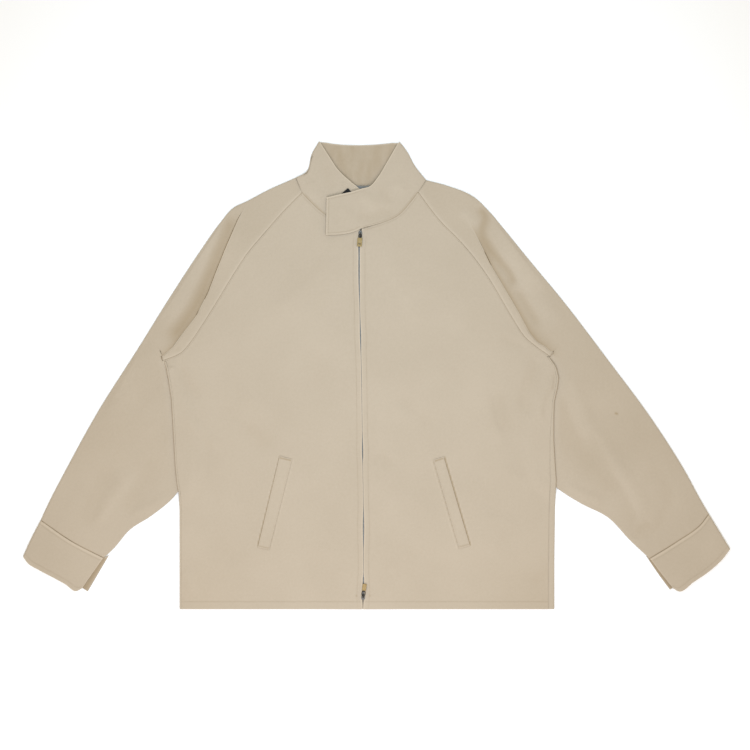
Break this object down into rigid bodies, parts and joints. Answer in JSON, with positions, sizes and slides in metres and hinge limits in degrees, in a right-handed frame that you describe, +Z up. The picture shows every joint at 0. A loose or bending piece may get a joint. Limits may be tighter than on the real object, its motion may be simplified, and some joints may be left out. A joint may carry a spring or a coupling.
{
  "type": "zip-front raglan jacket",
  "caption": "Plain beige cotton raglan jacket with a stand collar, throat tab, slanted welt pockets and a zip front, zipped up and laid flat.",
  "frame": {"origin": "middle of the underside, on the surface the jacket lies on", "axes": "+Z up from the surface, +Y from the hem towards the collar, +X to the viewer's right, which is the wearer's left"},
  "size_m": [1.1305, 0.7477, 0.0093],
  "materials": {
    "cotton_shell": "matte, densely woven plain cotton with a faint sheen",
    "zip_tape": "matte woven tape",
    "label_cloth": "matte woven, plain",
    "hook_tape": "matte, short stiff hooks",
    "slider_metal": "dark plated",
    "pull_brass": "satin"
  },
  "bodies": {
    "jacket": {"back": "cotton_shell", "collar": "cotton_shell", "collar_patch": "hook_tape", "cuff_left": "cotton_shell", "cuff_right": "cotton_shell", "front_left": "cotton_shell", "front_right": "cotton_shell", "neck_label": "label_cloth", "pocket_welt_left": "cotton_shell", "pocket_welt_right": "cotton_shell", "sleeve_left": "cotton_shell", "sleeve_right": "cotton_shell", "slider_foot": "slider_metal", "slider_top": "slider_metal", "zip_tape_left": "zip_tape", "zip_tape_right": "zip_tape"},
    "pull_tab_top": {"pull_top": "pull_brass"},
    "pull_tab_foot": {"pull_foot": "pull_brass"}
  },
  "joints": [
    {"name": "pull_top_hinge", "type": "hinge", "parent": "jacket", "child": "pull_tab_top", "pos_m": [-0.02505, 0.2242, 0.0074], "axis": [-1, 0, 0], "range_deg": [0, 150]},
    {"name": "pull_foot_hinge", "type": "hinge", "parent": "jacket", "child": "pull_tab_foot", "pos_m": [-0.02058, -0.3528, 0.0074], "axis": [1, 0, 0], "range_deg": [0, 180]}
  ]
}
